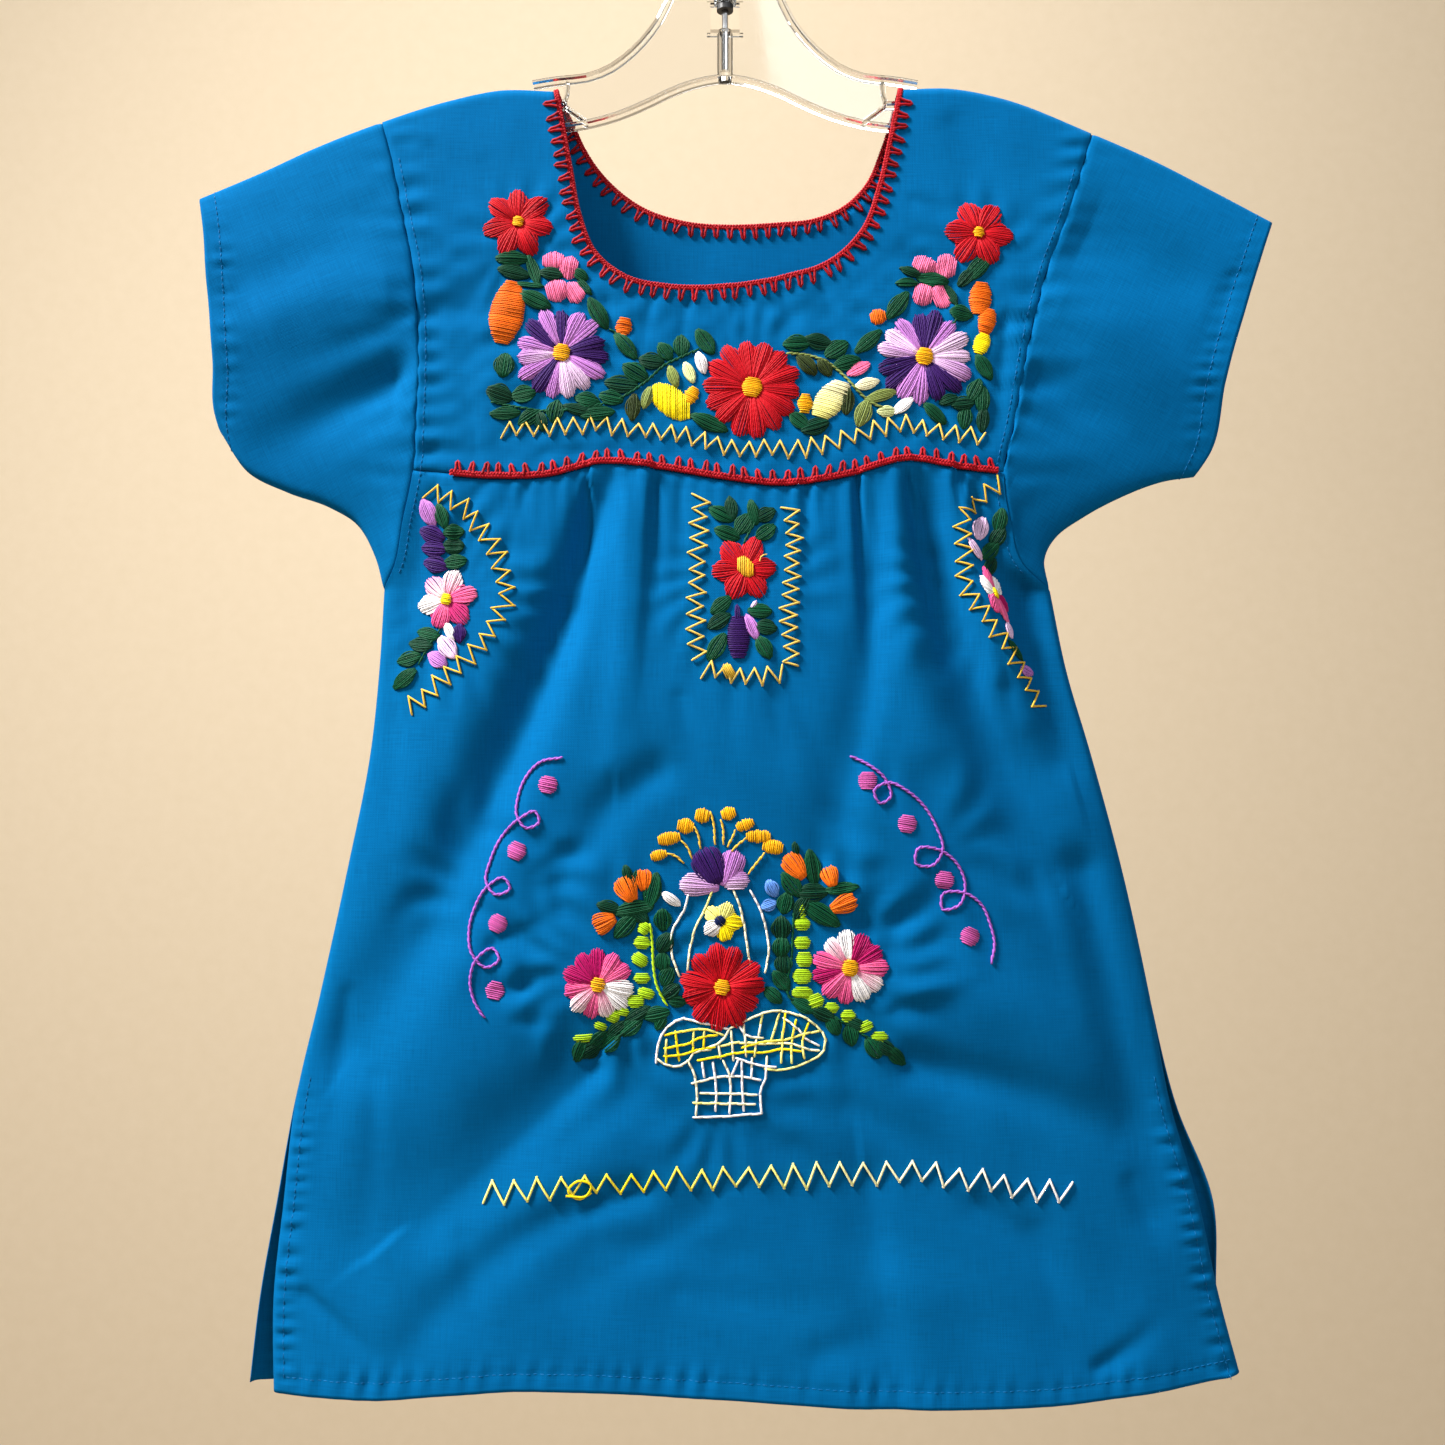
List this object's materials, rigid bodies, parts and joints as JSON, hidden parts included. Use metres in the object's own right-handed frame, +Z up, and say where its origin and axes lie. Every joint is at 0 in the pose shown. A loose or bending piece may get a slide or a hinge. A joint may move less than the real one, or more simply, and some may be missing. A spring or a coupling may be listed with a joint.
{
  "type": "embroidered tunic on a clothes hanger",
  "caption": "Child's short-sleeved tunic with a round neck, a yoke, a flared skirt and side slits, hanging flat on a clear plastic hanger with a steel hook.",
  "frame": {"origin": "inside top of the hanger's hook, where a rail or peg carries it", "axes": "+X to the right seen from the front, -Y towards the viewer, +Z up"},
  "size_m": [0.551, 0.0477, 0.7955],
  "materials": {
    "cloth": "plain-woven cotton blend, turquoise blue, matt with a soft sheen",
    "crochet": "red cotton crochet thread",
    "embroidery": "stranded cotton floss in satin, chain and zigzag stitches, many colours",
    "clear_plastic": "clear polystyrene, glossy",
    "steel": "bright plated steel wire",
    "washer": "black, satin"
  },
  "bodies": {
    "root": {"front_yoke": "cloth", "back_yoke": "cloth", "front_skirt": "cloth", "back_skirt": "cloth", "left_sleeve": "cloth", "right_sleeve": "cloth", "neck_edging": "crochet", "yoke_edging": "crochet", "hanger_frame": "clear_plastic", "hanger_hook": "steel", "hook_washer": "washer"}
  },
  "joints": []
}
